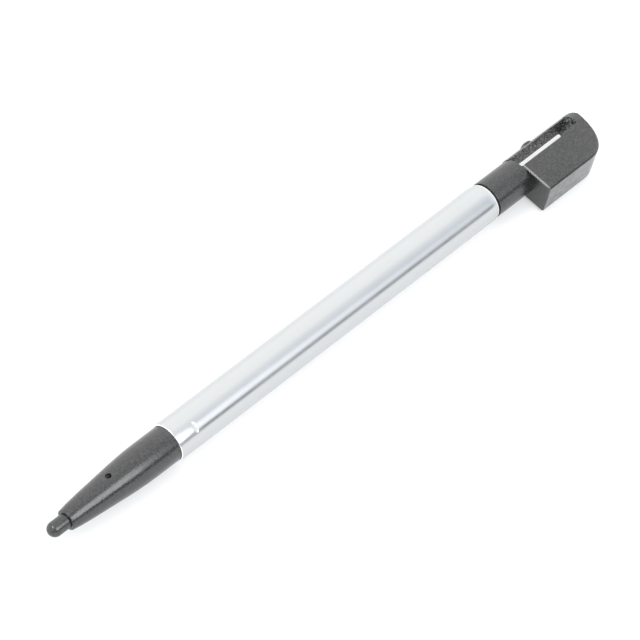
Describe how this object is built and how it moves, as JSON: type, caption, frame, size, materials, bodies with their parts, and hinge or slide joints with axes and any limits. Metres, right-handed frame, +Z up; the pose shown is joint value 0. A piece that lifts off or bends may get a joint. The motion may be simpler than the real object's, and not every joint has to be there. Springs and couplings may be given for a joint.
{
  "type": "telescopic touch stylus",
  "caption": "Telescopic touch stylus: slim metal tube with a moulded plastic head with a side flag and spring latch, and a black tapered tip with a round nib that pulls out to lengthen it.",
  "frame": {"origin": "centre of the stylus's bounding box in plan, at table height, with the stylus closed and lying on the flat side of its head and on its tube", "axes": "+X along the tube from the nib to the head, +Y to the latch bump's side (the flag points to -Y), +Z up"},
  "size_m": [0.0874, 0.0074, 0.0049],
  "materials": {
    "tube_metal": "satin polished",
    "black_plastic": "fine moulded",
    "tip_plastic": "fine moulded",
    "nib_plastic": "smooth",
    "stage_steel": "polished",
    "collar_brass": "turned",
    "spring_bronze": "spring bronze",
    "guide_plastic": "natural moulded"
  },
  "bodies": {
    "barrel": {"outer_tube": "tube_metal", "head_cap": "black_plastic", "mouth_bush": "guide_plastic"},
    "latch": {"latch_arm": "black_plastic"},
    "middle_stage": {"middle_tube": "stage_steel", "middle_stop_collar": "collar_brass", "middle_friction_spring": "spring_bronze", "middle_bush": "guide_plastic"},
    "tip_stage": {"inner_tube": "stage_steel", "inner_stop_collar": "collar_brass", "inner_friction_spring": "spring_bronze", "tip_cone": "tip_plastic", "nib": "nib_plastic"}
  },
  "joints": [
    {"name": "latch_press", "type": "slide", "parent": "barrel", "child": "latch", "axis": [0, -1, 0], "range_m": [0, 0.0003], "stiffness_N_per_m": 500},
    {"name": "middle_slide", "type": "slide", "parent": "barrel", "child": "middle_stage", "axis": [-1, 0, 0], "range_m": [0, 0.014]},
    {"name": "tip_slide", "type": "slide", "parent": "middle_stage", "child": "tip_stage", "axis": [-1, 0, 0], "range_m": [0, 0.014]}
  ]
}
